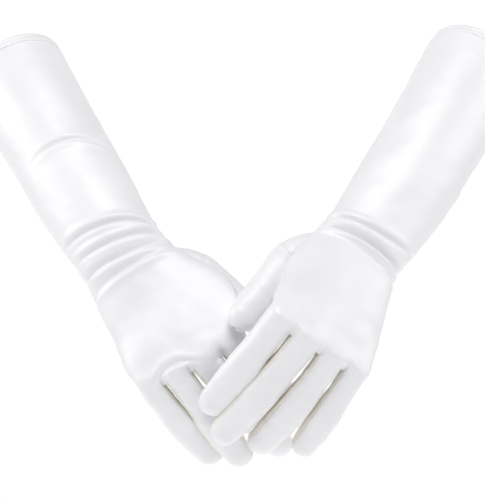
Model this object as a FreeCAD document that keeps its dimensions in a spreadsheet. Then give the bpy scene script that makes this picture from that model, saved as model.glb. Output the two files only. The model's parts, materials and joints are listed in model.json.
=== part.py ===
import FreeCAD, Part
import Sketcher

import os

# A worn pair of below-the-elbow satin gloves, one resting over the other.
# +Z is up, the backs of both hands face -Y, and the origin is the middle of the right arm opening.
# Every glove segment has a frame of its own: x across the hand, y out of the back of the hand,
# z towards the fingertips. The left glove mirrors the right one, so its thumb is on the -x side.

os.makedirs("parts", exist_ok=True)
doc = FreeCAD.newDocument("OperaGloves")
sheet = doc.addObject("Spreadsheet::Sheet", "Sizes")

# Cloth and sewing
CLOTH_SIZES = {
    "cloth": 0.8,                 # thickness of one layer of stretch satin
    "edge_gap": 0.4,              # from a joint's plane to the edge of each panel
    "seam_offset": 0.4,           # side seams sit this far towards the back
    "hinge_inset": 0.35,          # how far a hinge sits off the middle, as a share of half the depth
    "hem_height": 7.0,
    "hem_radius": 37.0,           # outside of the turned hem
    "thread": 0.25,               # radius of a sewing thread
    "lower_stitch": 3.1,          # from the middle of the hem down to the stitch line
    "upper_stitch": 0.0,
    "seam_width": 3.0,            # seam allowance that stands inside the sleeve
    "seam_thickness": 1.0,
    "fourchette_half": 5.0,       # half the width of the strip between two fingers
}

# Sleeve: distance from the middle of the hem, half width and half depth
SLEEVE_SIZES = {
    "sleeve_length": 180.0,
    "forearm_along": 70.0, "forearm_wide": 34.6, "forearm_deep": 33.0,
    "cuff_along": 128.0, "cuff_wide": 32.5, "cuff_deep": 27.5,
    "wrist_wide": 28.6, "wrist_deep": 20.6,
}

# Hand: distance from the wrist, half width and half depth
HAND_SIZES = {
    "palm_length": 92.0,
    "heel_along": 26.0, "heel_wide": 33.0, "heel_deep": 18.0,
    "palm_along": 54.0, "palm_wide": 36.5, "palm_deep": 15.5,
    "knuckle_along": 77.0, "knuckle_rise": 4.0, "knuckle_wide": 40.0, "knuckle_deep": 14.0,
    "crotch_wide": 40.0, "crotch_deep": 13.0,
    "finger_gap": 0.8,
    "thumb_along": 37.0, "thumb_across": 35.5, "thumb_drop": 11.0,
    "thumb_length": 57.0, "thumb_root": 4.0, "thumb_heel": 26.0, "thumb_hole": 14.0,
    "thumb_root_wide": 12.2, "thumb_root_deep": 12.0,
    "thumb_tip_wide": 9.6, "thumb_tip_deep": 8.4, "thumb_dome": 10.0,
    "thumb_clearance": 0.7,
}

# Fingers: length from the crotch, where the middle joint is, half widths and half depths
FINGERS = ("index", "middle", "ring", "little")
FINGER_SIZES = {
    "length": (74.0, 85.0, 77.0, 65.0),
    "joint": (37.0, 42.5, 38.5, 31.5),
    "root_wide": (10.0, 10.0, 9.2, 8.4),
    "root_deep": (9.2, 9.4, 9.0, 8.0),
    "joint_wide": (9.3, 9.4, 8.7, 7.7),
    "joint_deep": (8.4, 8.6, 8.2, 7.2),
    "tip_wide": (7.8, 7.9, 7.3, 6.5),
    "tip_deep": (6.8, 7.0, 6.6, 5.9),
    "dome": (8.5, 8.5, 8.0, 7.0),
    "rise": (-0.5, 1.0, 0.3, -2.0),
}

# How each glove is worn, in degrees. Swing is to the viewer's right, lean is towards the viewer,
# turn is about the limb's own axis, bend is towards the palm, splay is towards +x.
POSE_NAMES = ("sleeve_swing", "sleeve_lean", "sleeve_turn", "hand_swing", "hand_lean", "hand_turn",
              "knuckle_bend", "knuckle_slant", "middle_bend", "thumb_splay", "thumb_bend")
POSES = {
    "right": (32.9, 31.9, 0.0, 34.1, 24.1, 0.0, 40.5, -7.0, 9.0, 19.0, 20.0),
    "left": (-34.9, 30.7, -8.0, -26.1, 41.5, -13.4, 54.5, 0.0, 12.0, -10.0, 20.0),
}
FINGER_SPLAY = {
    "right": (15.0, 12.5, 8.0, 8.5),
    "left": (0.0, -2.0, 2.2, 5.0),
}
# From the right wrist to the left wrist
WRIST_OFFSET = {"wrist_apart": 152.7, "wrist_forward": -9.0, "wrist_above": 5.9}

# How far each joint turns from rest, towards the palm (+) or towards the back (-)
TURNS = {
    "right": {"wrist": 40.0, "knuckle": 40.0, "middle": 40.0},
    "left": {"wrist": -30.0, "knuckle": -30.0, "middle": -12.0},
}
# Range of each thumb about its own hinge: bend about x, splay about y
THUMB_TURNS = {"right": (30.0, 0.0), "left": (0.0, -28.0)}
# Shares of the thumb's turn at which its root is trimmed clear of the palm
SADDLE_SHARES = (0.0, 0.25, 0.5, 0.75, 1.0)
SPARE_TURN = 3.0

AXIS_X = FreeCAD.Vector(1, 0, 0)
AXIS_Y = FreeCAD.Vector(0, 1, 0)
AXIS_Z = FreeCAD.Vector(0, 0, 1)


def fill_sheet():
    """Put every driving dimension in the sheet, one aliased cell each."""
    cells = dict(CLOTH_SIZES)
    cells.update(SLEEVE_SIZES)
    cells.update(HAND_SIZES)
    cells.update(WRIST_OFFSET)
    for size, values in FINGER_SIZES.items():
        for finger, value in zip(FINGERS, values):
            cells[f"{finger}_{size}"] = value
    for side in POSES:
        for pose, value in zip(POSE_NAMES, POSES[side]):
            cells[f"{side}_{pose}"] = value
        for finger, value in zip(FINGERS, FINGER_SPLAY[side]):
            cells[f"{side}_{finger}_splay"] = value
        for joint, value in TURNS[side].items():
            cells[f"{side}_{joint}_turn"] = value
    for row, (alias, value) in enumerate(cells.items(), start=1):
        sheet.set(f"A{row}", alias.replace("_", " "))
        sheet.set(f"B{row}", str(value))
        sheet.setAlias(f"B{row}", alias)
    doc.recompute()


def size(alias):
    return float(sheet.get(alias))


def bind(item, **expressions):
    """Tie properties of an object to formulas over the sheet's cells."""
    for prop, formula in expressions.items():
        item.setExpression(prop, str(formula))
    return item


def cell(alias):
    return f"Sizes.{alias}"


def shift(x=0.0, y=0.0, z=0.0):
    return FreeCAD.Placement(FreeCAD.Vector(x, y, z), FreeCAD.Rotation())


def turned(axis, degrees):
    return FreeCAD.Placement(FreeCAD.Vector(), FreeCAD.Rotation(axis, degrees))


def aimed(swing, lean, turn):
    """Frame of a limb that hangs straight down, back to the viewer, then swings, leans and turns."""
    return turned(AXIS_Y, -swing) * turned(AXIS_X, 180.0 - lean) * turned(AXIS_Z, turn)


# ---------------------------------------------------------------- solids

def ellipse(name, wide, deep, frame):
    section = doc.addObject("Part::Ellipse", name)
    section.Placement = frame
    return bind(section, MajorRadius=wide, MinorRadius=deep)


def loft(name, sections, ruled=False):
    solid = doc.addObject("Part::Loft", name)
    solid.Sections = sections
    solid.Solid = True
    solid.Ruled = ruled
    return solid


def core(name, stations, shrink):
    """Smooth loft through (half width, half depth, frame) stations, shrunk all round by a formula."""
    return loft(name, [ellipse(f"{name}_section_{number}", f"{wide} - {shrink}", f"{deep} - {shrink}", frame)
                       for number, (wide, deep, frame) in enumerate(stations)])


def stages(name, stations, shrink):
    """One straight-sided loft from each station to the next, for a limb that bends."""
    return [loft(f"{name}_stage_{number}",
                 [ellipse(f"{name}_stage_{number}_{end}", f"{wide} - {shrink}", f"{deep} - {shrink}", frame)
                  for end, (wide, deep, frame) in zip(("near", "far"), pair)], ruled=True)
            for number, pair in enumerate(zip(stations, stations[1:]))]


def ellipsoid(name, wide, deep, along, frame):
    """Half of an ellipsoid, from the frame's x-y plane towards z."""
    solid = doc.addObject("Part::Ellipsoid", name)
    solid.Placement = frame
    solid.Angle1 = 0
    return bind(solid, Radius1=along, Radius2=wide, Radius3=deep)


def box(name, length, width, height, frame):
    """Box with its low corner at the frame's origin."""
    solid = doc.addObject("Part::Box", name)
    solid.Length = length
    solid.Width = width
    solid.Height = height
    solid.Placement = frame
    return solid


def wedge(name, reach, turn, hinge_frame):
    """Room for a joint to close: a slice about x that opens from the closing side by the turn."""
    closing = FreeCAD.Vector(0, -1, 0) if turn > 0 else AXIS_Y
    facing = FreeCAD.Rotation(closing, AXIS_Z, closing.cross(AXIS_Z), "XYZ")
    corner = facing.multVec(FreeCAD.Vector(0, 0, -reach))
    slice_solid = doc.addObject("Part::Cylinder", name)
    slice_solid.Radius = reach
    slice_solid.Height = 2 * reach
    slice_solid.Angle = abs(turn) + SPARE_TURN
    slice_solid.Placement = hinge_frame * FreeCAD.Placement(corner, facing)
    return slice_solid


def cut(name, base, tool):
    solid = doc.addObject("Part::Cut", name)
    solid.Base = base
    solid.Tool = tool
    return solid


def fuse(name, shapes):
    solid = doc.addObject("Part::MultiFuse", name)
    solid.Shapes = shapes
    return solid


def common(name, base, tool):
    solid = doc.addObject("Part::Common", name)
    solid.Base = base
    solid.Tool = tool
    return solid


def label(item, node):
    item.Label = node
    nodes.append(item)
    return item


# ---------------------------------------------------------------- shells

def hinge_shift(depth, turn):
    """From a joint's middle to its hinge, which is set towards the side that closes."""
    inset = size("hinge_inset") * depth
    return shift(y=-inset if turn > 0 else inset)


def segment(name, stations, ends=()):
    """A hollow tapering cloth segment, open at both ends unless round ends close it."""
    layers = []
    for layer, shrink in (("outer", "0"), ("inner", cell("cloth"))):
        solid = core(f"{name}_{layer}_core", stations, shrink)
        for number, (wide, deep, along, frame) in enumerate(ends):
            dome = ellipsoid(f"{name}_{layer}_end_{number}", f"{wide} - {shrink}", f"{deep} - {shrink}",
                             f"{along} - {shrink}", frame)
            solid = fuse(f"{name}_{layer}_{number}", [solid, dome])
        layers.append(solid)
    return cut(f"{name}_shell", layers[0], layers[1])


def jointed(name, shell, depth, turn, joint_frame):
    """The shell with a notch at its near joint, on the side that closes."""
    notch = wedge(f"{name}_notch", size("crotch_wide") + 5.0, turn, joint_frame * hinge_shift(depth, turn))
    return cut(f"{name}_jointed", shell, notch)


def halves(node, shell, frame, slabs=()):
    """Split a shell into its back and palm panels along the side seams, less what the slabs hold."""
    reach = 250.0
    seam = size("seam_offset")
    for panel, low in (("back", seam), ("palm", seam - reach)):
        side = box(f"{node}_{panel}_side", 2 * reach, reach, 2 * reach, frame * shift(-reach, low, -reach))
        half = common(f"{node}_{panel}_half", shell, side)
        for number, slab in enumerate(slabs):
            half = cut(f"{node}_{panel}_trim_{number}", half, slab)
        label(half, f"{node}_{panel}")


# ---------------------------------------------------------------- parts of a glove

def make_hem(side, frame):
    """Turned hem of double cloth at the arm opening, sewn down by two rows of thread."""
    body = doc.addObject("PartDesign::Body", f"{side}_hem_body")
    sketch = body.newObject("Sketcher::SketchObject", f"{side}_hem_sketch")
    plane = [part for part in body.Origin.OriginFeatures if part.Role == "XY_Plane"][0]
    sketch.AttachmentSupport = [(plane, "")]
    sketch.MapMode = "FlatFace"
    for number, radius in enumerate(("Sizes.hem_radius", "Sizes.hem_radius - 2 * Sizes.cloth")):
        sketch.addGeometry(Part.Circle(FreeCAD.Vector(), AXIS_Z, size("hem_radius") - number), False)
        sketch.addConstraint(Sketcher.Constraint("Coincident", number, 3, -1, 1))
        index = sketch.addConstraint(Sketcher.Constraint("Radius", number, size("hem_radius") - number))
        sketch.setExpression(f"Constraints[{index}]", radius)
    pad = body.newObject("PartDesign::Pad", f"{side}_hem_pad")
    pad.Profile = sketch
    pad.Midplane = True
    bind(pad, Length=cell("hem_height"))
    body.Placement = frame
    label(body, f"{side}_hem_band")

    rings = []
    for row in ("upper", "lower"):
        ring = doc.addObject("Part::Torus", f"{side}_{row}_stitch_ring")
        ring.Placement = frame * shift(z=size(f"{row}_stitch"))
        bind(ring, Radius1="Sizes.hem_radius + Sizes.thread * 1.1", Radius2=cell("thread"))
        rings.append(ring)
    stitching = doc.addObject("Part::Compound", f"{side}_stitching")
    stitching.Links = rings
    label(stitching, f"{side}_hem_stitching")


def make_sleeve(side, frame, thumb_side):
    """Tapering sleeve from the hem to the wrist, its two panels and the seam allowance inside."""
    gap = size("edge_gap")
    stations = [
        (cell("hem_radius"), cell("hem_radius"), frame * shift(z=size("hem_height") / 2)),
        (cell("forearm_wide"), cell("forearm_deep"), frame * shift(z=size("forearm_along"))),
        (cell("cuff_wide"), cell("cuff_deep"), frame * shift(z=size("cuff_along"))),
        (cell("wrist_wide"), cell("wrist_deep"), frame * shift(z=size("sleeve_length") - gap)),
    ]
    shell = segment(f"{side}_sleeve", stations)
    halves(f"{side}_sleeve", shell, frame)

    inset = core(f"{side}_seam_outer", stations, "(Sizes.cloth + 0.1)")
    hollow = core(f"{side}_seam_inner", stations, "(Sizes.cloth + Sizes.seam_width)")
    allowance = cut(f"{side}_seam_ring", inset, hollow)
    reach = 60.0
    low_x = -reach if thumb_side > 0 else 0.0
    slab = box(f"{side}_seam_slab", reach, size("seam_thickness"), size("sleeve_length") - 2.0,
               frame * shift(low_x, -size("seam_thickness") / 2, 1.0))
    bind(slab, Width=cell("seam_thickness"))
    label(common(f"{side}_seam_strip", allowance, slab), f"{side}_sleeve_side_seam")


def hand_stations(side, wrist_frame, hand_frame, crotch_frame):
    gap = size("edge_gap")
    bend = size(f"{side}_knuckle_bend")
    knuckle = hand_frame * shift(y=size("knuckle_rise"), z=size("knuckle_along")) * turned(AXIS_X, bend / 2)
    return [
        (cell("wrist_wide"), cell("wrist_deep"), wrist_frame * shift(z=gap)),
        (cell("heel_wide"), cell("heel_deep"), hand_frame * shift(z=size("heel_along"))),
        (cell("palm_wide"), cell("palm_deep"), hand_frame * shift(z=size("palm_along"))),
        (cell("knuckle_wide"), cell("knuckle_deep"), knuckle),
        (cell("crotch_wide"), cell("crotch_deep"), crotch_frame * shift(z=-gap)),
    ]


def make_hand(side, stations, wrist_frame, hand_frame, thumb_frame):
    """Hand from the wrist to the finger crotches, with a round hole where the thumb is sewn in."""
    skins = zip(stages(f"{side}_hand_outer", stations, "0"), stages(f"{side}_hand_inner", stations, cell("cloth")))
    rings = [cut(f"{side}_hand_ring_{number}", outer, inner) for number, (outer, inner) in enumerate(skins)]
    shell = jointed(f"{side}_hand", fuse(f"{side}_hand_shell", rings), size("wrist_deep"),
                    size(f"{side}_wrist_turn"), wrist_frame)
    hole = doc.addObject("Part::Cylinder", f"{side}_thumb_hole")
    hole.Placement = thumb_frame * shift(z=-size("thumb_hole"))
    bind(hole, Radius="Sizes.thumb_root_deep - 2 * Sizes.cloth", Height="2 * Sizes.thumb_hole")
    halves(f"{side}_hand", cut(f"{side}_hand_open", shell, hole), hand_frame)


def make_thumb(side, frame, travel, stations):
    """Thumb: a short tube with a round tip, and a full heel that is sewn to the side of the palm."""
    root = frame * shift(z=-size("thumb_root"))
    end = frame * shift(z=size("thumb_length") - size("thumb_dome"))
    root_wide, root_deep = cell("thumb_root_wide"), cell("thumb_root_deep")
    tip_wide, tip_deep = cell("thumb_tip_wide"), cell("thumb_tip_deep")
    heel = (root_wide, root_deep, cell("thumb_heel"), root * turned(AXIS_X, 180.0))
    dome = (tip_wide, tip_deep, cell("thumb_dome"), end)
    shell = segment(f"{side}_thumb", [(root_wide, root_deep, root), (tip_wide, tip_deep, end)], (heel, dome))
    for number, pose in enumerate(travel):
        hand = fuse(f"{side}_palm_room_{number}",
                    stages(f"{side}_palm_room_{number}", stations, "(0 - Sizes.thumb_clearance)"))
        hand.Placement = frame * pose.inverse()
        shell = cut(f"{side}_thumb_saddle_{number}", shell, hand)
    halves(f"{side}_thumb", shell, frame)


def make_finger(side, finger, root_frame, finger_frame, thumb_side):
    """One finger: a base segment with fourchette strips, and a tip segment with a round end."""
    gap = size("edge_gap")
    node = f"{side}_{finger}"
    joint = size(f"{finger}_joint")
    joint_frame = finger_frame * shift(z=joint)

    def own(size_name):
        return cell(f"{finger}_{size_name}")

    base_stations = [
        (own("root_wide"), own("root_deep"), root_frame * shift(z=gap)),
        (own("joint_wide"), own("joint_deep"), joint_frame * shift(z=-gap)),
    ]
    shell = jointed(f"{node}_base", segment(f"{node}_base", base_stations), size(f"{finger}_root_deep"),
                    size(f"{side}_knuckle_turn"), root_frame)

    slabs = []
    strips = []
    half = size("fourchette_half")
    reach = 60.0
    outermost = {"index": thumb_side, "little": -thumb_side}.get(finger)
    for strip_side, low_x in ((-1, -reach), (1, 0.0)):
        if strip_side == outermost:
            continue
        slab = box(f"{node}_strip_slab_{strip_side + 1}", reach, 2 * half, 2 * reach,
                   finger_frame * shift(low_x, -half, -reach))
        bind(slab, Width="2 * Sizes.fourchette_half")
        slabs.append(slab)
        strips.append(common(f"{node}_strip_{strip_side + 1}", shell, slab))
    halves(f"{node}_base", shell, finger_frame, slabs)
    fourchettes = strips[0]
    if len(strips) > 1:
        fourchettes = doc.addObject("Part::Compound", f"{node}_strips")
        fourchettes.Links = strips
    label(fourchettes, f"{node}_base_fourchettes")

    tip_frame = joint_frame * turned(AXIS_X, size(f"{side}_middle_bend"))
    end = tip_frame * shift(z=size(f"{finger}_length") - joint - size(f"{finger}_dome"))
    tip_stations = [
        (own("joint_wide"), own("joint_deep"), joint_frame * shift(z=gap)),
        (own("tip_wide"), own("tip_deep"), end),
    ]
    tip = segment(f"{node}_tip", tip_stations, [(own("tip_wide"), own("tip_deep"), own("dome"), end)])
    tip_shell = jointed(f"{node}_tip", tip, size(f"{finger}_joint_deep"), size(f"{side}_middle_turn"),
                        joint_frame)
    halves(f"{node}_tip", tip_shell, tip_frame)


def finger_offsets(thumb_side):
    """Where each finger starts across the crotch line, side by side from the thumb side."""
    gap = size("finger_gap")
    widths = [2 * size(f"{finger}_root_wide") for finger in FINGERS]
    edge = (sum(widths) + gap * (len(FINGERS) - 1)) / 2
    offsets = []
    for width in widths:
        offsets.append(thumb_side * (edge - width / 2))
        edge -= width + gap
    return offsets


def make_glove(side, sleeve_frame, hand_angles, thumb_side):
    wrist_frame = sleeve_frame * shift(z=size("sleeve_length"))
    hand_frame = FreeCAD.Placement(wrist_frame.Base, hand_angles.Rotation)
    crotch_frame = (hand_frame * shift(z=size("palm_length")) * turned(AXIS_X, size(f"{side}_knuckle_bend"))
                    * turned(AXIS_Y, size(f"{side}_knuckle_slant")))
    thumb_frame = (hand_frame
                   * shift(thumb_side * size("thumb_across"), -size("thumb_drop"), size("thumb_along"))
                   * turned(AXIS_Y, size(f"{side}_thumb_splay"))
                   * turned(AXIS_X, size(f"{side}_thumb_bend")))
    bend, splay = THUMB_TURNS[side]
    thumb_travel = [thumb_frame * turned(AXIS_X, share * bend) * turned(AXIS_Y, share * splay)
                    for share in SADDLE_SHARES]
    stations = hand_stations(side, wrist_frame, hand_frame, crotch_frame)

    make_hem(side, sleeve_frame)
    make_sleeve(side, sleeve_frame, thumb_side)
    make_hand(side, stations, wrist_frame, hand_frame, thumb_frame)
    make_thumb(side, thumb_frame, thumb_travel, stations)
    for finger, across in zip(FINGERS, finger_offsets(thumb_side)):
        root_frame = crotch_frame * shift(across, size(f"{finger}_rise"))
        finger_frame = root_frame * turned(AXIS_Y, size(f"{side}_{finger}_splay"))
        make_finger(side, finger, root_frame, finger_frame, thumb_side)
    return wrist_frame


def angles(side, limb):
    return aimed(*(size(f"{side}_{limb}_{angle}") for angle in ("swing", "lean", "turn")))


def write_parts():
    """Check every object, then write one STEP file per sub-part."""
    doc.recompute()
    for item in doc.Objects:
        if "Invalid" in item.State or "Error" in item.State:
            raise RuntimeError(f"{item.Name} failed: {item.State}")
    for item in nodes:
        if item.Shape.isNull() or not item.Shape.isValid() or not item.Shape.Solids:
            raise RuntimeError(f"{item.Label} has no valid solid")
    for item in nodes:
        item.Shape.exportStep(os.path.join("parts", f"{item.Label}.step"))


nodes = []
fill_sheet()
right_wrist = make_glove("right", angles("right", "sleeve"), angles("right", "hand"), 1)
left_wrist_point = right_wrist.Base + FreeCAD.Vector(size("wrist_apart"), size("wrist_forward"),
                                                     size("wrist_above"))
left_angles = angles("left", "sleeve")
left_sleeve = FreeCAD.Placement(left_wrist_point, left_angles.Rotation) * shift(z=-size("sleeve_length"))
make_glove("left", left_sleeve, angles("left", "hand"), -1)
write_parts()
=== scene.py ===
import json
import math

import bpy
import numpy as np
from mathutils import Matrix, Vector


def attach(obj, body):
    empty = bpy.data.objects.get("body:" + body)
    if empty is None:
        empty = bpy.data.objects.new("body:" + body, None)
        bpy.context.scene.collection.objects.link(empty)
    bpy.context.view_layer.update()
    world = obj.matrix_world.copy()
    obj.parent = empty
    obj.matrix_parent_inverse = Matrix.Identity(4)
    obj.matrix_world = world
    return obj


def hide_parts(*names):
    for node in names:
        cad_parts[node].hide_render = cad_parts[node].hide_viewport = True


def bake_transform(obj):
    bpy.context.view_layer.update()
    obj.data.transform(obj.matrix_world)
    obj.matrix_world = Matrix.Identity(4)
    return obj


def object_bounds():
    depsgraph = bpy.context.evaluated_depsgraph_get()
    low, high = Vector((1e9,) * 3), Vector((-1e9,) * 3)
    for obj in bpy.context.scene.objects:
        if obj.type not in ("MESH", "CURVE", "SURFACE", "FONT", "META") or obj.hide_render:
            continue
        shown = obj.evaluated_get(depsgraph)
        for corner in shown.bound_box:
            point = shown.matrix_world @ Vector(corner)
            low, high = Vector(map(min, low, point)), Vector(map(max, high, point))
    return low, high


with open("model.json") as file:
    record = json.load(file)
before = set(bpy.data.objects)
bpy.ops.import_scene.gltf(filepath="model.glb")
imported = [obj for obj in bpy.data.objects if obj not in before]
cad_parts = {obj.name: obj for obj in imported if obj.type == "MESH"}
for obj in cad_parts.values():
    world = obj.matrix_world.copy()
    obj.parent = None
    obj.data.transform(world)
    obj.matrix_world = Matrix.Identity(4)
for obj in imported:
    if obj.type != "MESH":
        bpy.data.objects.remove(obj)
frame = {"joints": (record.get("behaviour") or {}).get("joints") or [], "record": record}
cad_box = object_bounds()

# A worn pair of satin gloves. Lengths are millimetres until a mesh is made, and angles are degrees.
# Each limb frame is (origin, axes): the columns of axes are x across the hand, y out of its back and
# z towards the fingertips. Sections are drawn with the thumb on +x, and mirrored for the left glove.

MM = 0.001
SIDES = {"right": 1, "left": -1}          # the thumb's side of the hand, along x
FINGERS = ("index", "middle", "ring", "little")

SLEEVE_LENGTH = 180.0                      # middle of the hem to the wrist
HINGE_INSET = 0.35                         # share of a finger's half depth from its middle to its hinge
HEM_HALF = 3.5
STITCH_ROWS = (0.0, 3.1)                   # distance of each row of stitches from the hem's middle
CLOTH = 0.55                               # thickness

# Per finger: half width and half depth at the root and the middle joint, then near the tip
ROOT_WIDE = (10.0, 10.0, 9.2, 8.4)
ROOT_DEEP = (9.2, 9.4, 9.0, 8.0)
JOINT_WIDE = (10.8, 11.0, 10.4, 9.3)
JOINT_DEEP = (8.5, 8.7, 8.3, 7.3)
TIP_WIDE = (9.3, 9.6, 9.1, 8.1)
TIP_DEEP = (6.8, 7.0, 6.6, 5.9)
FINGER_LENGTH = (74.0, 85.0, 77.0, 65.0)
FINGER_RISE = (-0.5, 1.0, 0.3, -2.0)
TIP_SLACK = {"right": (1.0, 1.0, 1.5, 4.0), "left": (3.5, 4.5, 3.5, 1.0)}     # cloth past each fingertip
TIP_DRIFT = {"right": (0.0, 1.0, 2.0, 5.0), "left": (0.0, 0.5, 3.5, 0.0)}     # sideways, towards the thumb
FINGER_GAP = 0.8
KNUCKLE_SLANT = {"right": -7.0, "left": 0.0}
MIDDLE_BEND = {"right": 9.0, "left": 12.0}
THUMB_SPLAY = {"right": 19.0, "left": -10.0}
THUMB_BEND = {"right": 20.0, "left": 20.0}
SEAM_ANGLE = 31.0                          # a fourchette spans this angle either side of a finger's flank

DORSAL_COLUMNS = 22
STRIP_COLUMNS = 8
WEB_COLUMNS = 3

joints = {joint["name"]: joint for joint in frame["joints"]}
mounts = {mount["name"]: mount for mount in frame["record"]["mounts"]}


# ---------------------------------------------------------------- small maths

def unit(v):
    return v / np.linalg.norm(v, axis=-1, keepdims=True)


def smooth(t):
    t = np.clip(t, 0.0, 1.0)
    return t * t * (3.0 - 2.0 * t)


def lerp(a, b, t):
    return a * (1.0 - t) + b * t


def spline(knots, values, where):
    """Smooth curve through values at knots (Hermite, with slopes from the neighbours)."""
    knots = np.asarray(knots, float)
    values = np.asarray(values, float)
    where = np.asarray(where, float)
    flat = values.ndim == 1
    if flat:
        values = values[:, None]
    step = np.diff(knots)[:, None]
    slope = np.diff(values, axis=0) / step
    tangent = np.vstack([slope[:1], (slope[:-1] * step[1:] + slope[1:] * step[:-1])
                         / (step[1:] + step[:-1]), slope[-1:]])
    seg = np.clip(np.searchsorted(knots, where, side="right") - 1, 0, len(knots) - 2)
    t = ((where - knots[seg]) / step[seg, 0])[:, None]
    h = step[seg]
    out = ((2 * t**3 - 3 * t**2 + 1) * values[seg] + (t**3 - 2 * t**2 + t) * h * tangent[seg]
           + (3 * t**2 - 2 * t**3) * values[seg + 1] + (t**3 - t**2) * h * tangent[seg + 1])
    return out[:, 0] if flat else out


def turn_about(axis, degrees):
    """Rotation matrix about a unit vector."""
    a = math.radians(degrees)
    x, y, z = axis
    cross = np.array([[0, -z, y], [z, 0, -x], [-y, x, 0]])
    return np.eye(3) + math.sin(a) * cross + (1 - math.cos(a)) * cross @ cross


def framed(z, x):
    """Axes with that z, and x as near as it can be to the given one."""
    z = unit(z)
    x = unit(x - (x @ z) * z)
    return np.column_stack([x, np.cross(z, x), z])


def orthonormal(x, z):
    """Rows of axes from rows of rough x and z vectors: z is kept."""
    z = unit(z)
    x = unit(x - np.sum(x * z, axis=1, keepdims=True) * z)
    y = np.cross(z, x)
    return np.stack([x, y, z], axis=2)


def ease_ends(count, pull):
    """Numbers from 0 to 1 that crowd towards both ends."""
    u = np.linspace(0.0, 1.0, count)
    return u - pull * np.sin(2 * math.pi * u) / (2 * math.pi)


def waves(points, seed, size, octaves=2):
    """Smooth repeatable undulation over 3-D points, roughly between -1 and 1."""
    rng = np.random.default_rng(seed)
    total = np.zeros(len(points))
    for octave in range(octaves):
        for _ in range(7):
            direction = unit(rng.normal(size=3))
            phase = rng.uniform(0, 2 * math.pi)
            stretch = rng.uniform(0.7, 1.4)
            total += np.sin(points @ direction * 2 * math.pi * stretch * 2**octave / size + phase) / 2**octave
    return total / 5.0


# ---------------------------------------------------------------- skeleton from the frame

def vector(values):
    return np.array(values, float)


def finger_offsets():
    """Where each finger starts across the crotch line, from the thumb side."""
    edge = (2 * sum(ROOT_WIDE) + FINGER_GAP * (len(FINGERS) - 1)) / 2
    offsets = []
    for wide in ROOT_WIDE:
        offsets.append(edge - wide)
        edge -= 2 * wide + FINGER_GAP
    return offsets


def skeleton(side):
    """Frames of one glove, worked out from its arm opening and its hinges."""
    thumb = SIDES[side]
    mount = mounts[f"{side}_arm_opening"]
    hem = vector(mount["pos_m"]) / MM
    sleeve = framed(-vector(mount["axis"]), thumb * vector(joints[f"{side}_wrist"]["axis"]))
    wrist = hem + SLEEVE_LENGTH * sleeve[:, 2]

    across = thumb * vector(joints[f"{side}_index_knuckle"]["axis"])
    hinge = [vector(joints[f"{side}_{f}_knuckle"]["pos_m"]) / MM for f in FINGERS]
    bend = [vector(joints[f"{side}_{f}_middle"]["pos_m"]) / MM for f in FINGERS]
    along = sum(unit(b - h) for b, h in zip(bend, hinge))
    crotch_y = unit(np.cross(along, across))
    crotch = np.column_stack([across, crotch_y, np.cross(across, crotch_y)])
    inset = thumb * HINGE_INSET
    roots = [h + inset * deep * crotch[:, 1] for h, deep in zip(hinge, ROOT_DEEP)]
    middles = [b + inset * deep * crotch[:, 1] for b, deep in zip(bend, JOINT_DEEP)]
    offsets = finger_offsets()
    centre = sum(root - thumb * off * crotch[:, 0] - rise * crotch[:, 1]
                 for root, off, rise in zip(roots, offsets, FINGER_RISE)) / len(FINGERS)
    slant = math.radians(KNUCKLE_SLANT[side])
    hand_x = math.cos(slant) * crotch[:, 0] + math.sin(slant) * crotch[:, 2]
    hand = framed(centre - wrist, hand_x)
    root = vector(joints[f"{side}_thumb_root"]["pos_m"]) / MM
    thumb_axes = (hand @ turn_about((0, 1, 0), THUMB_SPLAY[side]) @ turn_about((1, 0, 0), THUMB_BEND[side]))
    return {"side": side, "thumb_side": thumb, "hem": hem, "sleeve": sleeve, "wrist": wrist, "hand": hand,
            "crotch": crotch, "centre": centre, "roots": roots, "middles": middles,
            "thumb_root": root, "thumb": thumb_axes}


# ---------------------------------------------------------------- grids and meshes

def oval(wide, back, palm, power, angle):
    """Point of a rounded section at an angle from the thumb side over the back of the hand."""
    c, s = np.cos(angle), np.sin(angle)
    x = wide * np.sign(c) * np.abs(c) ** (2.0 / power)
    y = np.where(s >= 0, back, palm) * np.sign(s) * np.abs(s) ** (2.0 / power)
    return x, y


def grid_faces(rows, columns, closed, flip):
    """Quads of a rows by columns grid, with the last column joined to the first when closed."""
    faces = []
    span = columns if closed else columns - 1
    for r in range(rows - 1):
        for c in range(span):
            n = (c + 1) % columns
            quad = (r * columns + c, r * columns + n, (r + 1) * columns + n, (r + 1) * columns + c)
            faces.append(quad[::-1] if flip else quad)
    return faces


def grid_normals(points, closed):
    """Unit normals of a grid of points, rows by columns."""
    down = np.gradient(points, axis=0)
    if closed:
        side = (np.roll(points, -1, axis=1) - np.roll(points, 1, axis=1)) / 2
    else:
        side = np.gradient(points, axis=1)
    normal = np.cross(side, down)
    length = np.linalg.norm(normal, axis=2, keepdims=True)
    return normal / np.maximum(length, 1e-9)


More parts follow.
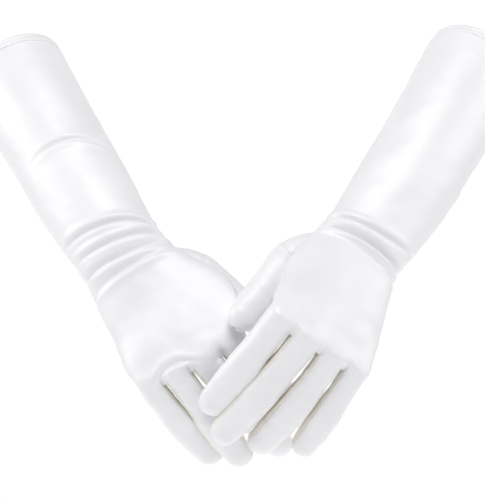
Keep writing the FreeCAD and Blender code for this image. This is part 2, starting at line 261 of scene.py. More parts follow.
class Cloth:
    """Grids of cloth that make up one mesh: outer faces now, thickness at the end."""

    def __init__(self):
        self.points = []
        self.faces = []
        self.uvs = []
        self.count = 0

    def add_grid(self, points, flip, closed=False, uv_origin=(0.0, 0.0)):
        rows, columns = points.shape[:2]
        self.points.append(points.reshape(-1, 3))
        self.faces += [tuple(i + self.count for i in face)
                       for face in grid_faces(rows, columns, closed, flip)]
        self.count += rows * columns
        across = np.linalg.norm(np.diff(points, axis=1), axis=2).cumsum(axis=1)
        along = np.linalg.norm(np.diff(points, axis=0), axis=2).cumsum(axis=0)
        u = np.hstack([np.zeros((rows, 1)), across]) + uv_origin[0]
        v = np.vstack([np.zeros((1, columns)), along]) + uv_origin[1]
        self.uvs.append(np.stack([u, v], axis=2).reshape(-1, 2))

    def add_fan(self, ring, tip, flip):
        """Close a row of points with one more point."""
        start = self.count
        self.points.append(np.vstack([ring, tip[None, :]]))
        self.uvs.append(np.zeros((len(ring) + 1, 2)))
        self.count += len(ring) + 1
        for c in range(len(ring) - 1):
            face = (start + c, start + c + 1, start + len(ring))
            self.faces.append(face[::-1] if flip else face)

    def build(self, name, material, thickness=CLOTH, merge=0.02):
        mesh = bpy.data.meshes.new(name)
        mesh.from_pydata((np.vstack(self.points) * MM).tolist(), [], self.faces)
        uv = np.vstack(self.uvs) * MM
        layer = mesh.uv_layers.new(name="cloth")
        loop_vertex = np.zeros(len(mesh.loops), np.int32)
        mesh.loops.foreach_get("vertex_index", loop_vertex)
        layer.data.foreach_set("uv", uv[loop_vertex].ravel())
        obj = bpy.data.objects.new(name, mesh)
        bpy.context.scene.collection.objects.link(obj)
        if merge:
            weld = obj.modifiers.new("weld", "WELD")
            weld.merge_threshold = merge * MM
        if thickness:
            solid = obj.modifiers.new("thickness", "SOLIDIFY")
            solid.thickness = thickness * MM
            solid.offset = -1.0
            solid.use_even_offset = False
            solid.use_rim = False
        apply_modifiers(obj)
        obj.data.polygons.foreach_set("use_smooth", [True] * len(obj.data.polygons))
        obj.data.materials.clear()
        obj.data.materials.append(material)
        return obj


def apply_modifiers(obj):
    graph = bpy.context.evaluated_depsgraph_get()
    final = bpy.data.meshes.new_from_object(obj.evaluated_get(graph))
    obj.modifiers.clear()
    obj.data = final


# ---------------------------------------------------------------- materials

def cloth_material(name, light, dark, roughness, gleam, sheen, weave, weave_depth):
    """Woven cloth: two close tints, a fine diagonal weave and soft highlights along the cloth."""
    material = bpy.data.materials.new(name)
    material.use_nodes = True
    nodes, links = material.node_tree.nodes, material.node_tree.links
    shader = nodes["Principled BSDF"]
    shader.inputs["Sheen Weight"].default_value = sheen
    shader.inputs["Sheen Roughness"].default_value = 0.35
    shader.inputs["IOR"].default_value = 1.6
    shader.inputs["Specular IOR Level"].default_value = gleam
    shader.inputs["Anisotropic"].default_value = 0.45

    place = nodes.new("ShaderNodeTexCoord")
    broad = nodes.new("ShaderNodeTexNoise")
    broad.inputs["Scale"].default_value = 45.0
    broad.inputs["Detail"].default_value = 3.0
    links.new(place.outputs["Object"], broad.inputs["Vector"])
    tint = nodes.new("ShaderNodeMix")
    tint.data_type = "RGBA"
    tint.inputs[6].default_value = (*dark, 1.0)
    tint.inputs[7].default_value = (*light, 1.0)
    links.new(broad.outputs["Fac"], tint.inputs["Factor"])
    links.new(tint.outputs[2], shader.inputs["Base Color"])

    gloss = nodes.new("ShaderNodeMapRange")
    gloss.inputs["To Min"].default_value = roughness - 0.05
    gloss.inputs["To Max"].default_value = roughness + 0.07
    links.new(broad.outputs["Fac"], gloss.inputs["Value"])
    links.new(gloss.outputs["Result"], shader.inputs["Roughness"])

    twill = nodes.new("ShaderNodeTexWave")
    twill.wave_type = "BANDS"
    twill.bands_direction = "DIAGONAL"
    twill.inputs["Scale"].default_value = weave
    twill.inputs["Distortion"].default_value = 1.5
    twill.inputs["Detail"].default_value = 1.0
    links.new(place.outputs["UV"], twill.inputs["Vector"])
    thread = nodes.new("ShaderNodeTexNoise")
    thread.inputs["Scale"].default_value = 2200.0
    thread.inputs["Detail"].default_value = 2.0
    links.new(place.outputs["Object"], thread.inputs["Vector"])
    both = nodes.new("ShaderNodeMath")
    both.operation = "ADD"
    links.new(twill.outputs["Fac"], both.inputs[0])
    links.new(thread.outputs["Fac"], both.inputs[1])
    bump = nodes.new("ShaderNodeBump")
    bump.inputs["Strength"].default_value = 0.35
    bump.inputs["Distance"].default_value = weave_depth
    links.new(both.outputs["Value"], bump.inputs["Height"])
    links.new(bump.outputs["Normal"], shader.inputs["Normal"])
    return material


SATIN = cloth_material("satin", (0.825, 0.825, 0.842), (0.765, 0.765, 0.79),
                       0.46, 0.7, 0.15, 900.0, 0.00004)
FOURCHETTE = cloth_material("fourchette_satin", (0.86, 0.835, 0.77), (0.82, 0.79, 0.72),
                            0.55, 0.4, 0.1, 900.0, 0.00005)
THREAD = cloth_material("sewing_thread", (0.86, 0.86, 0.85), (0.78, 0.78, 0.77),
                        0.6, 0.3, 0.3, 3000.0, 0.00003)


# ---------------------------------------------------------------- sections of the glove

SEAM = math.radians(SEAM_ANGLE)
SEAM_DEPTH = 0.55                          # how far a seam is drawn in
SEAM_REACH = 0.7                           # how far the dip spreads either side of it
FINGER_POWER = 2.45                        # squareness of a finger's section; 2 is an ellipse


def panel_angles(finger, panel):
    """Angles of a finger's panel columns, from the thumb side over the back and round again."""
    first, last = finger == 0, finger == len(FINGERS) - 1
    pi = math.pi
    edges = {
        "back": (0.0 if first else SEAM, pi if last else pi - SEAM),
        "palm": (pi if last else pi + SEAM, 2 * pi if first else 2 * pi - SEAM),
        "far_strip": (pi - SEAM, pi + SEAM),
        "near_strip": (2 * pi - SEAM, 2 * pi + SEAM),
    }
    return edges[panel]


def crotch_columns():
    """The loop of points where the hand meets the fingers, as x and y across the hand.

    It runs over the backs of the fingers from the thumb side, then under them and back.
    """
    offsets = finger_offsets()
    xs, ys = [], []

    def finger_run(finger, panel):
        low, high = panel_angles(finger, panel)
        angle = low + (high - low) * ease_ends(DORSAL_COLUMNS + 1, 0.7)
        x, y = oval(ROOT_WIDE[finger], ROOT_DEEP[finger], ROOT_DEEP[finger], FINGER_POWER, angle)
        return list(x + offsets[finger]), list(y + FINGER_RISE[finger])

    order = [(f, "back") for f in range(4)] + [(f, "palm") for f in range(3, -1, -1)]
    for place, (finger, panel) in enumerate(order):
        x, y = finger_run(finger, panel)
        if place and place != 4:
            for step in range(1, WEB_COLUMNS):
                share = step / WEB_COLUMNS
                xs.append(lerp(xs_last, x[0], share))
                ys.append(lerp(ys_last, y[0], share))
        if place == 4:
            x, y = x[1:], y[1:]
        if place == 7:
            x, y = x[:-1], y[:-1]
        xs += x
        ys += y
        xs_last, ys_last = x[-1], y[-1]
    return np.array(xs), np.array(ys)


def finger_tops(xs, ys, back_columns):
    """The same loop without its valleys: a smooth line over the tops of the fingers and under them."""
    offsets = np.array(finger_offsets())
    rises = np.array(FINGER_RISE)
    deeps = np.array(ROOT_DEEP)
    left = np.clip(np.searchsorted(-offsets, -xs) - 1, 0, len(FINGERS) - 2)
    share = smooth((offsets[left] - xs) / (offsets[left] - offsets[left + 1]))
    way = np.where(np.arange(len(xs)) < back_columns, 1.0, -1.0)
    tops = lerp(rises[left] + way * deeps[left], rises[left + 1] + way * deeps[left + 1], share)
    return np.where((xs > offsets[0]) | (xs < offsets[-1]), ys, tops)


CROTCH_X, CROTCH_Y = crotch_columns()
COLUMNS = len(CROTCH_X)
BACK_COLUMNS = 4 * (DORSAL_COLUMNS + 1) + 3 * (WEB_COLUMNS - 1)
CROTCH_TOPS = finger_tops(CROTCH_X, CROTCH_Y, BACK_COLUMNS)

# The limb from hem to crotch: distance, half width, half depth of the back and palm sides, squareness
LIMB = np.array([
    # along  wide  back  palm  power
    (3.5, 36.9, 36.9, 36.9, 2.0),
    (70.0, 34.8, 33.0, 33.0, 2.0),
    (128.0, 33.2, 27.6, 27.6, 2.05),
    (165.0, 30.4, 22.3, 22.5, 2.1),
    (180.0, 29.6, 20.2, 21.0, 2.15),
    (206.0, 33.4, 17.3, 19.5, 2.3),
    (234.0, 36.6, 15.0, 17.5, 2.4),
    (255.0, 39.2, 13.8, 14.5, 2.55),
    (265.0, 39.2, 12.6, 12.6, 2.65),
    (272.0, 39.2, 12.2, 12.2, 2.7),
])
# The row of LIMB at the knuckles, and how far they stand out of the back of the hand
KNUCKLE_ALONG = 255.0
KNUCKLE_RISE = 4.0
# Sideways bow of the forearm, away from the thumb, at each row of LIMB.
BOW = {
    "right": (0.0, 0.8, 1.6, 1.2, 0.6, 0.0, 0.0, 0.0, 0.0, 0.0),
    "left": (-0.5, 2.2, 3.8, 2.8, 1.6, 0.0, 0.0, 0.0, 0.0, 0.0),
}
# How far the little finger's side of the hand draws in before the crotch
HEEL_TAPER = {"right": 0.0, "left": 1.6}
# The cloth between thumb and forefinger: where it is widest, its reach along and how far it stands out
THUMB_WEB = {"right": (236.0, 27.0, 13.5), "left": (214.0, 22.0, 4.5)}
# How far back from the crotch the valleys between the fingers start, and the line over their tops
VALLEY_REACH = 13.0
TOPS_REACH = 36.0
CLOTH_SEED = {"right": 11, "left": 23}


def limb_stations(bones):
    """Centre and axes of the limb at the rows of LIMB."""
    hand, crotch = bones["hand"], bones["crotch"]
    centres, xs, zs = [], [], []
    half_z = unit(hand[:, 2] + crotch[:, 2])
    for along in LIMB[:, 0]:
        if along <= SLEEVE_LENGTH:
            centres.append(bones["hem"] + along * bones["sleeve"][:, 2])
            axes = bones["sleeve"]
        elif along < KNUCKLE_ALONG:
            centres.append(bones["wrist"] + (along - SLEEVE_LENGTH) * hand[:, 2])
            axes = hand
        elif along == KNUCKLE_ALONG:
            centres.append(bones["wrist"] + (along - SLEEVE_LENGTH) * hand[:, 2] + KNUCKLE_RISE * hand[:, 1])
            axes = framed(half_z, hand[:, 0])
        else:
            centres.append(bones["centre"] - (LIMB[-1, 0] - along) * crotch[:, 2])
            axes = crotch
        xs.append(axes[:, 0])
        zs.append(axes[:, 2])
    bow = bones["thumb_side"] * np.array(BOW[bones["side"]])
    return np.array(centres) - bow[:, None] * np.array(xs), np.array(xs), np.array(zs)


def limb_rows():
    """Distances along the limb of the mesh's rows, closer together where the cloth creases."""
    parts = [np.arange(LIMB[0, 0], 60.0, 2.0), np.arange(60.0, 100.0, 1.3), np.arange(100.0, 135.0, 1.8),
             np.arange(135.0, 200.0, 0.9), np.arange(200.0, 250.0, 1.3), np.linspace(250.0, LIMB[-1, 0], 24)]
    return np.concatenate(parts)


def fold(along, angle, at, centre, span, depth, width, slope=0.0, curve=0.0):
    """A crease across the limb with a soft roll of cloth on each side of it, fading out at its ends."""
    side = np.radians(centre)
    away = (angle - side + math.pi) % (2 * math.pi) - math.pi
    line = at + slope * away + curve * away**2
    gap = (along - line) / width
    crease = -np.exp(-gap**2) + 0.7 * np.exp(-(gap - 1.7)**2 / 1.1) + 0.45 * np.exp(-(gap + 1.9)**2 / 1.6)
    ends = np.exp(-np.abs(away / math.radians(span))**3)
    return depth * crease * ends


# Creases of the worn cloth: distance along, direction round the limb (90 is the back of the hand,
# 0 the thumb side), reach each way, depth, width, slope and curve
CREASES = {
    "right": (
        (95.5, 65.0, 48.0, 1.7, 1.9, -10.0, 8.0), (164.3, 78.0, 82.0, 2.6, 2.2, -9.0, 2.0),
        (177.0, 85.0, 78.0, 2.8, 2.3, -5.5, 0.0), (186.8, 105.0, 70.0, 2.6, 2.3, -4.0, 0.0),
        (195.0, 95.0, 62.0, 1.9, 2.4, 0.0, 1.0), (261.5, 106.0, 26.0, 1.5, 1.6, 0.0, 34.0),
        (163.0, 270.0, 80.0, 1.6, 3.0, 0.0, 0.0), (174.0, 275.0, 80.0, 1.7, 3.0, 1.5, 0.0),
        (186.0, 265.0, 70.0, 1.2, 3.0, 0.0, 0.0),
    ),
    "left": (
        (174.3, 72.0, 75.0, 2.3, 2.1, -4.5, -1.7), (182.7, 95.0, 85.0, 3.1, 2.4, -3.5, 1.0),
        (193.0, 130.0, 45.0, 1.2, 2.6, -2.0, 0.0), (166.0, 270.0, 80.0, 1.4, 3.0, 0.0, 0.0),
        (178.0, 265.0, 80.0, 1.6, 3.0, -1.5, 0.0), (96.0, 200.0, 60.0, 0.7, 3.6, 3.0, 0.0),
    ),
}


# Soft hollows in the back of the hand: distance along, direction, reach along, reach round and depth
HOLLOWS = {
    "right": ((252.0, 55.0, 13.0, 38.0, 2.4), (214.0, 95.0, 18.0, 38.0, 1.0)),
    "left": ((212.0, 80.0, 18.0, 36.0, 1.4), (258.0, 62.0, 9.0, 12.0, 1.1), (258.0, 92.0, 9.0, 12.0, 1.2),
             (258.0, 119.0, 9.0, 12.0, 1.0)),
}


def limb_grid(bones):
    """Points of the sleeve and hand, rows along the limb by columns round it."""
    side, thumb = bones["side"], bones["thumb_side"]
    rows = limb_rows()
    centres, xs, zs = limb_stations(bones)
    centre = spline(LIMB[:, 0], centres, rows)
    axes = orthonormal(spline(LIMB[:, 0], xs, rows), spline(LIMB[:, 0], zs, rows))
    wide, back, palm, power = (spline(LIMB[:, 0], LIMB[:, k], rows)[:, None] for k in (1, 2, 3, 4))

    half = np.arange(COLUMNS) < BACK_COLUMNS       # true over the back of the hand
    column = np.arange(COLUMNS)
    under = 1.0 + (column - BACK_COLUMNS + 1.0) / (COLUMNS - BACK_COLUMNS + 1.0)
    even = np.where(half, column / (BACK_COLUMNS - 1.0), under) * math.pi
    across_even = np.cos(even)[None, :]
    across_hand = (CROTCH_X / LIMB[-1, 1])[None, :]
    spread = smooth((rows - 175.0) / 80.0)[:, None]
    across = np.clip(lerp(across_even, across_hand, spread), -1.0, 1.0)
    height = (1.0 - np.abs(across)**power)**(1.0 / power)
    at, reach, stand = THUMB_WEB[side]
    taper = HEEL_TAPER[side] * np.exp(-((rows - 254.0) / 15.0)**2) * (1.0 - smooth((rows - 256.0) / 16.0))
    web = stand * np.exp(-((rows - at) / reach)**2) * (1.0 - smooth((rows - 250.0) / 18.0))
    x = (wide * across + web[:, None] * np.clip(across, 0.0, 1.0)**4
         + taper[:, None] * np.clip(-across, 0.0, 1.0)**3)
    y = np.where(half[None, :], back, -palm) * height
    settled = smooth((rows - (LIMB[-1, 0] - TOPS_REACH)) / TOPS_REACH)[:, None]
    valley = smooth((rows - (LIMB[-1, 0] - VALLEY_REACH)) / VALLEY_REACH)[:, None] ** 1.5
    y = lerp(y, CROTCH_TOPS[None, :], settled) + (CROTCH_Y - CROTCH_TOPS)[None, :] * valley
    points = (centre[:, None, :] + (thumb * x)[:, :, None] * axes[:, None, :, 0]
              + y[:, :, None] * axes[:, None, :, 1])

    angle = np.arctan2(np.where(half[None, :], height, -height), across) % (2 * math.pi)
    along = np.broadcast_to(rows[:, None], x.shape)
    lift = sum(fold(along, angle, *crease) for crease in CREASES[side])
    flat = points.reshape(-1, 3)
    seed = CLOTH_SEED[side]
    broad = (waves(flat, seed, 70.0) + 0.7 * waves(flat, seed + 1, 26.0)).reshape(x.shape)
    for at, centre_angle, reach_along, reach_round, depth in HOLLOWS[side]:
        away = np.degrees((angle - math.radians(centre_angle) + math.pi) % (2 * math.pi) - math.pi)
        lift = lift - depth * np.exp(-((along - at) / reach_along)**2 - (away / reach_round)**2)
    calm = 1.0 - smooth((rows - 264.0) / 8.0)[:, None]
    lift = (lift + 0.45 * broad) * calm
    return points + grid_normals(points, True) * (lift * thumb)[:, :, None]


def finger_sections(finger, length, joint):
    """Rows of a finger: distance, half width, half depth and how far the fourchettes have narrowed."""
    round_end = 0.95 * TIP_WIDE[finger]
    start = length - round_end
    straight = np.concatenate([np.linspace(0.0, 4.0, 6), np.arange(5.0, start, 1.0)])
    bow = np.linspace(0.0, 0.5 * math.pi, 14)[:-1]
    rows = np.concatenate([straight, start + round_end * np.sin(bow)])
    shrink = np.concatenate([np.ones(len(straight)), np.cos(bow)**(2.0 / 2.35)])
    knots = (0.0, 0.45 * joint, joint, 0.5 * (joint + length), start, length)
    wide = spline(knots, (ROOT_WIDE[finger], 0.97 * ROOT_WIDE[finger], JOINT_WIDE[finger],
                          0.5 * (JOINT_WIDE[finger] + TIP_WIDE[finger]) + 0.2, TIP_WIDE[finger],
                          TIP_WIDE[finger] * 0.94), rows) * shrink
    deep = spline(knots, (ROOT_DEEP[finger], 0.95 * ROOT_DEEP[finger], JOINT_DEEP[finger],
                          0.5 * (JOINT_DEEP[finger] + TIP_DEEP[finger]), TIP_DEEP[finger],
                          TIP_DEEP[finger] * 0.9), rows) * shrink**0.9
    open_strip = 1.0 - smooth((rows - (length - 15.0)) / 12.5)
    return rows, wide, deep, open_strip


def finger_line(bones, finger, rows, joint):
    """Centre and axes of a finger at its rows: a soft bend at the middle joint and a slight drift."""
    side = bones["side"]
    root, middle = bones["roots"][finger], bones["middles"][finger]
    straight = framed(middle - root, bones["crotch"][:, 0])
    bent = turn_about(straight[:, 0], MIDDLE_BEND[side]) @ straight
    share = smooth((rows - (joint - 9.0)) / 18.0)[:, None]
    zs = unit(lerp(straight[:, 2][None, :], bent[:, 2][None, :], share))
    step = np.diff(rows, prepend=rows[0])[:, None]
    middle_z = (zs + np.vstack([zs[:1], zs[:-1]])) / 2
    drift = bones["thumb_side"] * TIP_DRIFT[side][finger] * (rows / rows[-1])**2
    centre = root + np.cumsum(middle_z * step, axis=0) + drift[:, None] * straight[:, 0][None, :]
    near = smooth(rows / 12.0)[:, None]
    section_z = unit(lerp(bones["crotch"][:, 2][None, :], zs, near))
    xs = lerp(bones["crotch"][:, 0][None, :], straight[:, 0][None, :], near)
    return centre, orthonormal(xs, section_z)


def finger_panel(bones, finger, panel, rows, wide, deep, open_strip, centre, axes):
    """Grid of one panel of a finger. Its edges turn in at the seams, with a few small puckers."""
    low, high = panel_angles(finger, panel)
    strip = panel.endswith("strip")
    columns = STRIP_COLUMNS if strip else DORSAL_COLUMNS
    share = ease_ends(columns + 1, 0.5 if strip else 0.7)
    closing = (1.0 - open_strip)[:, None]

    def edge(angle):
        flank = math.pi * round(angle / math.pi)
        return lerp(angle, flank, closing) if abs(angle - flank) > 1e-6 else np.full_like(closing, angle)

    first, last = edge(low), edge(high)
    angle = first + (last - first) * share[None, :]
    x, y = oval(wide[:, None], deep[:, None], deep[:, None], FINGER_POWER, angle)
    points = (centre[:, None, :] + (bones["thumb_side"] * x)[:, :, None] * axes[:, None, :, 0]
              + y[:, :, None] * axes[:, None, :, 1])
    radius = 0.5 * (wide + deep)[:, None]
    sewn_low = 1.0 if strip or not (finger == 0 and panel == "back") else closing
    sewn_high = 1.0 if strip or not (finger == 3 and panel == "back") else closing
    if panel == "palm":
        sewn_low = closing if finger == 3 else 1.0
        sewn_high = closing if finger == 0 else 1.0
    from_low = np.abs(angle - first) * radius
    from_high = np.abs(last - angle) * radius
    pucker = 0.10 * np.sin(rows * 2 * math.pi / 3.7 + 1.7 * finger)[:, None]
    dip = 0.0
    for away, sewn in ((from_low, sewn_low), (from_high, sewn_high)):
        dip = dip + sewn * (SEAM_DEPTH * np.exp(-(away / SEAM_REACH)**1.5) + pucker * np.exp(-away / 2.2))
    taken = smooth(rows / 3.0)[:, None]
    soft = 0.34 * waves(points.reshape(-1, 3), 31 + finger, 15.0).reshape(angle.shape)
    inward = unit(centre[:, None, :] - points)
    return points + inward * ((dip + soft) * taken)[:, :, None]


def cut_rows(rows, where):
    return int(np.argmin(np.abs(rows - where)))


def finish_piece(obj, nodes=()):
    if nodes:
        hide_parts(*nodes)
    return obj


def make_finger(bones, finger):
    """One finger in two pieces of satin and two of fourchette, joined half-way to the middle joint."""
    side, thumb = bones["side"], bones["thumb_side"]
    name = FINGERS[finger]
    joint = float(np.linalg.norm(bones["middles"][finger] - bones["roots"][finger]))
    length = FINGER_LENGTH[finger] + TIP_SLACK[side][finger]
    rows, wide, deep, open_strip = finger_sections(finger, length, joint)
    centre, axes = finger_line(bones, finger, rows, joint)
    split = cut_rows(rows, 0.5 * joint)
    sections = (rows, wide, deep, open_strip, centre, axes)
    flip = thumb < 0
    last = len(rows) - 1
    for part, low, high in (("base", 0, split), ("tip", split, last)):
        satin = Cloth()
        for panel in ("back", "palm"):
            grid = finger_panel(bones, finger, panel, *sections)
            satin.add_grid(grid[low:high + 1], flip, uv_origin=(0.0, rows[low]))
            if part == "tip":
                tip = centre[-1] + axes[-1, :, 2] * 0.15
                satin.add_fan(grid[-1], tip, not flip)
        piece = satin.build(f"{side}_{name}_{part}", SATIN)
        strips = Cloth()
        for panel in ("near_strip", "far_strip"):
            if (finger == 0 and panel == "near_strip") or (finger == 3 and panel == "far_strip"):
                continue
            grid = finger_panel(bones, finger, panel, *sections)
            stop = high if part == "base" else cut_rows(open_strip, 0.03)
            strips.add_grid(grid[low:stop + 1], flip, uv_origin=(0.0, rows[low]))
        strip_piece = strips.build(f"{side}_{name}_{part}_fourchettes", FOURCHETTE)
        if part == "base":
            finish_piece(piece, (f"{side}_{name}_base_back", f"{side}_{name}_base_palm"))
            finish_piece(strip_piece, (f"{side}_{name}_base_fourchettes",))
        else:
            finish_piece(piece, (f"{side}_{name}_tip_back", f"{side}_{name}_tip_palm"))
            finish_piece(strip_piece)
        for each in (piece, strip_piece):
            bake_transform(each)


def make_limb(bones):
    """Sleeve and hand, one run of cloth from the hem to the finger crotches."""
    side = bones["side"]
    grid = limb_grid(bones)
    cloth = Cloth()
    cloth.add_grid(grid, bones["thumb_side"] < 0, closed=True)
    piece = cloth.build(f"{side}_sleeve_and_hand", SATIN)
    finish_piece(piece, (f"{side}_sleeve_back", f"{side}_sleeve_palm",
                                  f"{side}_hand_back", f"{side}_hand_palm"))
    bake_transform(piece)
    return grid


def make_webs(bones, grid):
    """The quirks: saddles of fourchette cloth at the three finger crotches."""
    side = bones["side"]
    last = grid[-1]
    towards_tips = bones["crotch"][:, 2]
    webs = Cloth()
    run = DORSAL_COLUMNS + WEB_COLUMNS
    for gap in range(3):
        first = DORSAL_COLUMNS + gap * run
        top = last[first:first + WEB_COLUMNS + 1]
        mirror = BACK_COLUMNS + DORSAL_COLUMNS - 1 + (2 - gap) * run
        bottom = last[mirror:mirror + WEB_COLUMNS + 1][::-1]
        levels = STRIP_COLUMNS
        near = finger_flank(bones, gap, "far_strip")
        far = finger_flank(bones, gap + 1, "near_strip")[::-1]
        across = np.linspace(0.0, 1.0, WEB_COLUMNS + 1)
        web = np.zeros((levels + 1, WEB_COLUMNS + 1, 3))
        for level in range(levels + 1):
            web[level] = lerp(near[level][None, :], far[level][None, :], across[:, None])
            sag = 1.2 * math.sin(math.pi * level / levels)
            web[level] -= towards_tips[None, :] * (sag * np.sin(math.pi * across))[:, None]
        web[0], web[-1] = top, bottom
        webs.add_grid(web, bones["thumb_side"] > 0)
    piece = webs.build(f"{side}_crotch_quirks", FOURCHETTE)
    finish_piece(piece)
    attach(piece, f"{side}_hand")


def finger_flank(bones, finger, panel):
    """Points down the side of a finger at its root, from the back seam to the palm seam."""
    low, high = panel_angles(finger, panel)
    angle = low + (high - low) * ease_ends(STRIP_COLUMNS + 1, 0.5)
    x, y = oval(ROOT_WIDE[finger], ROOT_DEEP[finger], ROOT_DEEP[finger], FINGER_POWER, angle)
    axes = bones["crotch"]
    return (bones["roots"][finger][None, :] + (bones["thumb_side"] * x)[:, None] * axes[:, 0][None, :]
            + y[:, None] * axes[:, 1][None, :])


# ---------------------------------------------------------------- thumb

THUMB_LENGTH = 57.0
THUMB_ROUND_END = 9.5
THUMB_LINE = np.array([
    # along  wide  deep
    (-30.0, 13.4, 11.5),
    (-12.0, 13.6, 12.0),
    (0.0, 13.6, 11.8),
    (14.0, 12.7, 10.6),
    (28.0, 11.6, 9.6),
    (40.0, 10.8, 9.0),
    (49.0, 9.8, 8.2),
    (57.0, 8.6, 7.0),
])
# Length over which the thumb's buried end rounds off inside the palm
THUMB_HEEL = 26.0
THUMB_CREASES = (
    (-4.0, 60.0, 55.0, 0.9, 1.4, 5.0, 0.0), (3.0, 75.0, 45.0, 0.8, 1.3, 6.0, 0.0),
    (30.0, 100.0, 50.0, 0.4, 1.6, 3.0, 0.0), (2.0, 260.0, 60.0, 0.9, 1.6, 0.0, 0.0),
)


def make_thumb(bones):
    """The thumb's own piece of satin: a tube that runs out of the side of the palm, seamed round its tip."""
    side, thumb = bones["side"], bones["thumb_side"]
    axes = bones["thumb"]
    start = THUMB_LENGTH - THUMB_ROUND_END
    straight = np.arange(THUMB_LINE[0, 0] + 0.3, start, 1.0)
    bow = np.linspace(0.0, 0.5 * math.pi, 14)[:-1]
    rows = np.concatenate([straight, start + THUMB_ROUND_END * np.sin(bow)])
    heel = np.clip((THUMB_LINE[0, 0] + THUMB_HEEL - straight) / THUMB_HEEL, 0.0, 1.0)
    shrink = np.concatenate([np.sqrt(1.0 - heel**2), np.cos(bow)**(2.0 / 2.3)])
    wide = spline(THUMB_LINE[:, 0], THUMB_LINE[:, 1], rows) * shrink
    deep = spline(THUMB_LINE[:, 0], THUMB_LINE[:, 2], rows) * shrink
    centre = bones["thumb_root"][None, :] + rows[:, None] * axes[:, 2][None, :]
    inward_shift = -4.0 * smooth(-rows / 26.0)
    centre = centre + (thumb * inward_shift)[:, None] * bones["hand"][:, 0][None, :]
    satin = Cloth()
    flip = thumb < 0
    for low, high in ((0.0, math.pi), (math.pi, 2 * math.pi)):
        angle = low + (high - low) * ease_ends(DORSAL_COLUMNS + 9, 0.7)
        x, y = oval(wide[:, None], deep[:, None], deep[:, None], 2.25, angle[None, :])
        points = (centre[:, None, :] + (thumb * x)[:, :, None] * axes[:, 0][None, None, :]
                  + y[:, :, None] * axes[:, 1][None, None, :])
        radius = 0.5 * (wide + deep)[:, None]
        away = np.minimum(angle - low, high - angle)[None, :] * radius
        pucker = 0.10 * np.sin(rows * 2 * math.pi / 3.9)[:, None] * np.exp(-away / 2.2)
        dip = SEAM_DEPTH * np.exp(-(away / SEAM_REACH)**1.5) + pucker
        points = points + unit(centre[:, None, :] - points) * dip[:, :, None]
        lift = 0.3 * waves(points.reshape(-1, 3), 5, 24.0).reshape(dip.shape)
        for crease in THUMB_CREASES:
            lift = lift + fold(rows[:, None], angle[None, :], *crease)
        points = points + unit(points - centre[:, None, :]) * lift[:, :, None]
        satin.add_grid(points, flip)
        satin.add_fan(points[-1], centre[-1] + axes[:, 2] * 0.15, not flip)
    piece = satin.build(f"{side}_thumb", SATIN)
    finish_piece(piece, (f"{side}_thumb_back", f"{side}_thumb_palm"))
    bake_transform(piece)


# ---------------------------------------------------------------- hem and seam

HEM_RADIUS = 37.0
STITCH_LENGTH = 2.4
STITCH_GAP = 0.7
THREAD_RADIUS = 0.24


def ring_grid(bones, profile, columns, ripple=0.0):
    """A profile of (distance, radius) points turned round the sleeve."""
    axes = bones["sleeve"]
    angle = np.linspace(0.0, 2 * math.pi, columns, endpoint=False)
    rows = []
    for along, radius in profile:
        r = radius + ripple * np.sin(angle * 9 + 0.7) * 0.3
        rows.append(bones["hem"][None, :] + along * axes[:, 2][None, :]
                    + (bones["thumb_side"] * r * np.cos(angle))[:, None] * axes[:, 0][None, :]
                    + (r * np.sin(angle))[:, None] * axes[:, 1][None, :])
    return np.array(rows)


def make_hem(bones):
    """The turned hem: double cloth with a rounded lip, drawn in along its two rows of stitches."""
    side = bones["side"]
    outer = []
    for along in np.linspace(HEM_HALF + 0.4, -HEM_HALF + 0.9, 34):
        pulled = sum(0.42 * math.exp(-((along - row) / 0.55)**2) for row in STITCH_ROWS)
        outer.append((along, HEM_RADIUS + 0.25 - pulled))
    lip = [(-HEM_HALF + 0.9 - 0.9 * math.sin(a), HEM_RADIUS - 0.65 + 0.9 * math.cos(a))
           for a in np.linspace(0.2, math.pi, 9)]
    inner = [(along, HEM_RADIUS - 1.55) for along in np.linspace(-HEM_HALF + 1.2, HEM_HALF + 0.6, 8)]
    back = [(HEM_HALF + 0.6, HEM_RADIUS - 0.9), (HEM_HALF + 0.4, HEM_RADIUS + 0.25)]
    cloth = Cloth()
    cloth.add_grid(ring_grid(bones, outer + lip + inner + back, 160), bones["thumb_side"] > 0, closed=True)
    piece = cloth.build(f"{side}_hem", SATIN, thickness=0.0)
    finish_piece(piece, (f"{side}_hem_band",))
    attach(piece, f"{side}_sleeve")


def make_stitches(bones):
    """Short stitches of thread, end to end along both rows of the hem."""
    side = bones["side"]
    axes = bones["sleeve"]
    count = int(2 * math.pi * HEM_RADIUS / (STITCH_LENGTH + STITCH_GAP))
    threads = Cloth()
    for row in STITCH_ROWS:
        for number in range(count):
            middle = 2 * math.pi * number / count
            sweep = np.linspace(-0.5, 0.5, 5) * STITCH_LENGTH / HEM_RADIUS + middle
            thick = THREAD_RADIUS * np.array([0.35, 0.9, 1.0, 0.9, 0.35])
            sink = np.array([0.25, 0.03, 0.0, 0.03, 0.25])
            around = np.linspace(0.0, 2 * math.pi, 6, endpoint=False)
            grid = np.zeros((5, 6, 3))
            for k in range(5):
                r = HEM_RADIUS - 0.1 - sink[k] + thick[k] * np.cos(around)
                along = row + thick[k] * np.sin(around)
                grid[k] = (bones["hem"][None, :] + along[:, None] * axes[:, 2][None, :]
                           + (bones["thumb_side"] * r * math.cos(sweep[k]))[:, None] * axes[:, 0][None, :]
                           + (r * math.sin(sweep[k]))[:, None] * axes[:, 1][None, :])
            threads.add_grid(grid, bones["thumb_side"] > 0, closed=True)
    piece = threads.build(f"{side}_hem_stitches", THREAD, thickness=0.0, merge=0.0)
    finish_piece(piece, (f"{side}_hem_stitching",))
    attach(piece, f"{side}_sleeve")


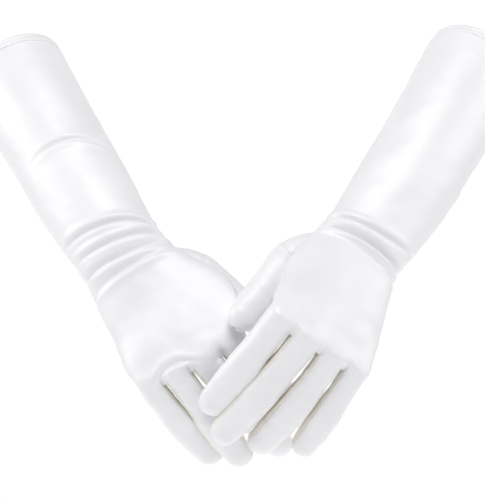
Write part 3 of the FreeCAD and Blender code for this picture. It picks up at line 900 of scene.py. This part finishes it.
def make_side_seam(bones):
    """The overlocked allowance of the side seam, standing inside the sleeve on the little finger's side."""
    side, thumb = bones["side"], bones["thumb_side"]
    rows = np.arange(HEM_HALF + 0.5, SLEEVE_LENGTH - 3.0, 1.6)
    wide = spline(LIMB[:, 0], LIMB[:, 1], rows) - CLOTH - 0.25
    axes = bones["sleeve"]
    profile = ((0.0, 0.55), (1.0, 0.6), (2.2, 0.7), (3.0, 0.35),
               (3.0, -0.35), (2.2, -0.7), (1.0, -0.6), (0.0, -0.55))
    grid = np.zeros((len(rows), len(profile), 3))
    for k, (depth, thick) in enumerate(profile):
        wobble = 0.25 * np.sin(rows * 2 * math.pi / 3.2) * depth / 3.0
        x = -(wide - depth)
        y = thick + wobble
        grid[:, k] = (bones["hem"][None, :] + rows[:, None] * axes[:, 2][None, :]
                      + (thumb * x)[:, None] * axes[:, 0][None, :] + y[:, None] * axes[:, 1][None, :])
    strip = Cloth()
    strip.add_grid(grid, thumb < 0, closed=True)
    piece = strip.build(f"{side}_inner_seam", THREAD, thickness=0.0)
    finish_piece(piece, (f"{side}_sleeve_side_seam",))
    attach(piece, f"{side}_sleeve")


def make_glove(side):
    bones = skeleton(side)
    grid = make_limb(bones)
    make_webs(bones, grid)
    for finger in range(len(FINGERS)):
        make_finger(bones, finger)
    make_thumb(bones)
    make_hem(bones)
    make_stitches(bones)
    make_side_seam(bones)


# ---------------------------------------------------------------- studio

# The camera stands square to the gloves, this far to the right of, in front of and below the origin
CAMERA_PLACE = (0.1606, -1.434, -0.1228)
CAMERA_LENS = 146.25
FLOOR_HEIGHT = -1.1
SWEEP_START = 3.6
SWEEP_RADIUS = 1.5


def make_camera():
    data = bpy.data.cameras.new("camera")
    data.lens = CAMERA_LENS
    data.sensor_width = 36.0
    camera = bpy.data.objects.new("camera", data)
    camera.location = CAMERA_PLACE
    camera.rotation_euler = (math.radians(90.0), 0.0, 0.0)
    bpy.context.scene.collection.objects.link(camera)
    bpy.context.scene.camera = camera


def make_floor():
    """A pale floor well below the gloves that sweeps up into the wall behind them."""
    middle_x, height, reach = 0.16, FLOOR_HEIGHT, 6.0
    bend = np.linspace(0.0, 0.5 * math.pi, 24)
    profile = [(-5.0, height)] + [(SWEEP_START + SWEEP_RADIUS * math.sin(a), height + SWEEP_RADIUS
                                   * (1.0 - math.cos(a))) for a in bend]
    profile.append((SWEEP_START + SWEEP_RADIUS, 4.0))
    points = [(middle_x + x, y, z) for y, z in profile for x in (-reach, reach)]
    mesh = bpy.data.meshes.new("floor")
    mesh.from_pydata(points, [], [(2 * k, 2 * k + 1, 2 * k + 3, 2 * k + 2) for k in range(len(profile) - 1)])
    mesh.polygons.foreach_set("use_smooth", [True] * len(mesh.polygons))
    floor = bpy.data.objects.new("floor", mesh)
    material = bpy.data.materials.new("pale_floor")
    material.use_nodes = True
    shader = material.node_tree.nodes["Principled BSDF"]
    shader.inputs["Base Color"].default_value = (0.97, 0.97, 0.97, 1.0)
    shader.inputs["Roughness"].default_value = 1.0
    shader.inputs["Specular IOR Level"].default_value = 0.0
    shader.inputs["Emission Color"].default_value = (1.0, 1.0, 1.0, 1.0)
    shader.inputs["Emission Strength"].default_value = 0.55
    mesh.materials.append(material)
    bpy.context.scene.collection.objects.link(floor)


def area_light(name, place, target, size, power):
    """A square softbox that faces the target."""
    data = bpy.data.lights.new(name, "AREA")
    data.size = size
    data.energy = power
    light = bpy.data.objects.new(name, data)
    light.location = place
    light.rotation_euler = (Vector(target) - Vector(place)).to_track_quat("-Z", "Y").to_euler()
    bpy.context.scene.collection.objects.link(light)


def make_lights():
    world = bpy.data.worlds.new("studio")
    world.use_nodes = True
    world.node_tree.nodes["Background"].inputs["Color"].default_value = (1.0, 1.0, 1.0, 1.0)
    world.node_tree.nodes["Background"].inputs["Strength"].default_value = 0.24
    bpy.context.scene.world = world
    low, high = cad_box
    middle = (low + high) / 2
    area_light("key", middle + Vector((0.05, -1.1, 1.35)), middle, 0.9, 20.5)
    area_light("left", middle + Vector((-1.4, -0.1, 0.5)), middle, 0.9, 10.0)
    area_light("right", middle + Vector((1.4, -0.1, 0.5)), middle, 0.9, 7.0)


for side in SIDES:
    make_glove(side)
make_camera()
make_floor()
make_lights()
bpy.context.scene.view_settings.view_transform = "Standard"
